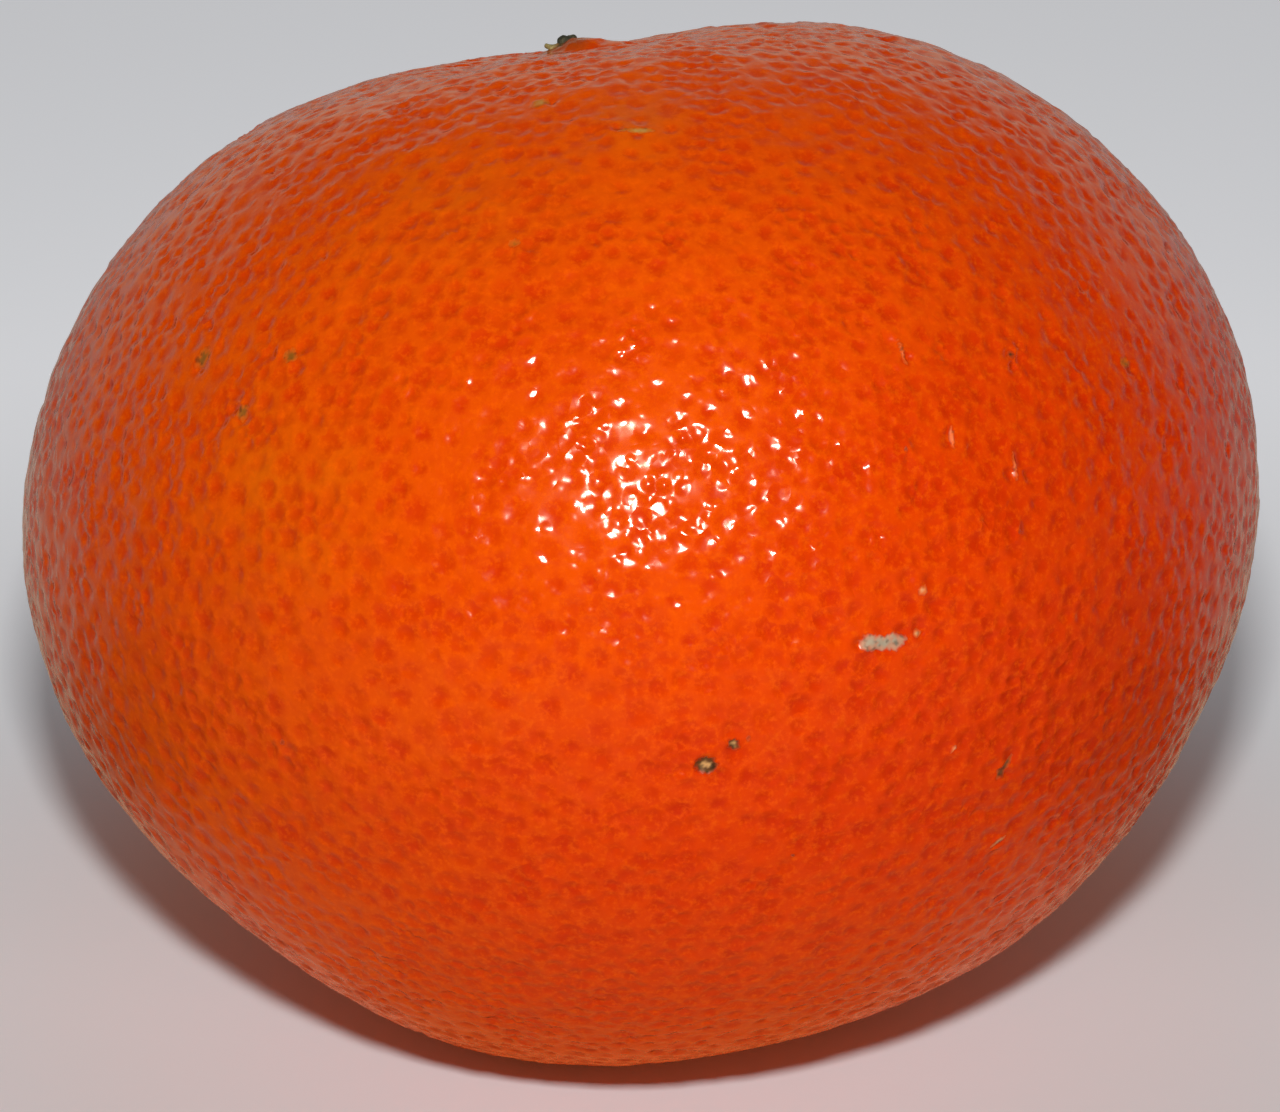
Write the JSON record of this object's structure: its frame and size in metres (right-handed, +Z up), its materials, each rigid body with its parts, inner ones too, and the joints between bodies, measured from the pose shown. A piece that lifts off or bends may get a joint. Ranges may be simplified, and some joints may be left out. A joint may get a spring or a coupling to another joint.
{
  "type": "mandarin",
  "caption": "Whole ripe mandarin in its glossy pebbled orange peel, lying on a small flat spot, with the dried calyx and a stub of stem on its leaning crown.",
  "frame": {"origin": "bottom centre of the bounding box, on the surface that the fruit rests on", "axes": "+Z up, +X to the right along the greatest width, +Y to the back; the crown leans to the left (-X) and to the back (+Y)"},
  "size_m": [0.0614, 0.0608, 0.0519],
  "materials": {
    "peel": "waxy and pebbled, satin to glossy",
    "sepals": "dry, matte and wrinkled",
    "stem": "dry, matte and fibrous"
  },
  "bodies": {
    "root": {"fruit": "peel", "calyx": "sepals", "stem_stub": "stem"}
  },
  "joints": []
}
